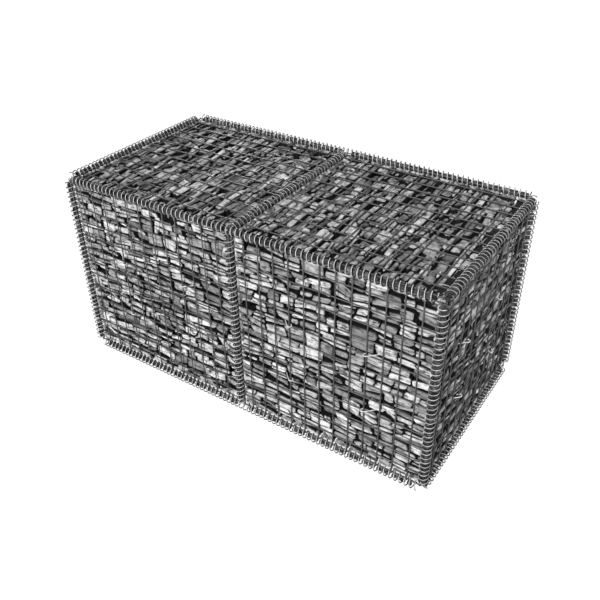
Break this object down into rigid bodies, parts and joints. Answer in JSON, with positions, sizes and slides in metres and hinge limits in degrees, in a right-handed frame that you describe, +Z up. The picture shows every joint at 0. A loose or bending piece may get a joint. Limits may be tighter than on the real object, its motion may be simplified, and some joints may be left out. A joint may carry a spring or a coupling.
{
  "type": "gabion wall unit",
  "caption": "Stone-filled gabion wall unit: a divided welded-mesh basket, its panels laced along every edge with spiral wire binders and braced by hooked corner ties.",
  "frame": {"origin": "on the ground under the middle of the base", "axes": "+X along the wall to the right, +Y from the front to the back, +Z up"},
  "size_m": [2.0252, 1.0346, 1.0346],
  "materials": {
    "mesh_wire": "galvanised wire, dull and weathered",
    "binder_wire": "galvanised wire, bright",
    "tie_wire": "galvanised wire, bright",
    "stone": "rough split stone"
  },
  "bodies": {
    "root": {"base_panel": "mesh_wire", "front_panel": "mesh_wire", "back_panel": "mesh_wire", "left_end_panel": "mesh_wire", "right_end_panel": "mesh_wire", "diaphragm_panel": "mesh_wire", "lid_panel": "mesh_wire", "top_front_binder": "binder_wire", "top_back_binder": "binder_wire", "bottom_front_binder": "binder_wire", "bottom_back_binder": "binder_wire", "top_left_binder": "binder_wire", "top_middle_binder": "binder_wire", "top_right_binder": "binder_wire", "bottom_left_binder": "binder_wire", "bottom_middle_binder": "binder_wire", "bottom_right_binder": "binder_wire", "front_left_binder": "binder_wire", "front_middle_binder": "binder_wire", "front_right_binder": "binder_wire", "back_left_binder": "binder_wire", "back_middle_binder": "binder_wire", "back_right_binder": "binder_wire", "left_lower_ties": "tie_wire", "left_upper_ties": "tie_wire", "right_lower_ties": "tie_wire", "right_upper_ties": "tie_wire", "left_lower_fill": "stone", "left_middle_fill": "stone", "left_upper_fill": "stone", "right_lower_fill": "stone", "right_middle_fill": "stone", "right_upper_fill": "stone"}
  },
  "joints": []
}
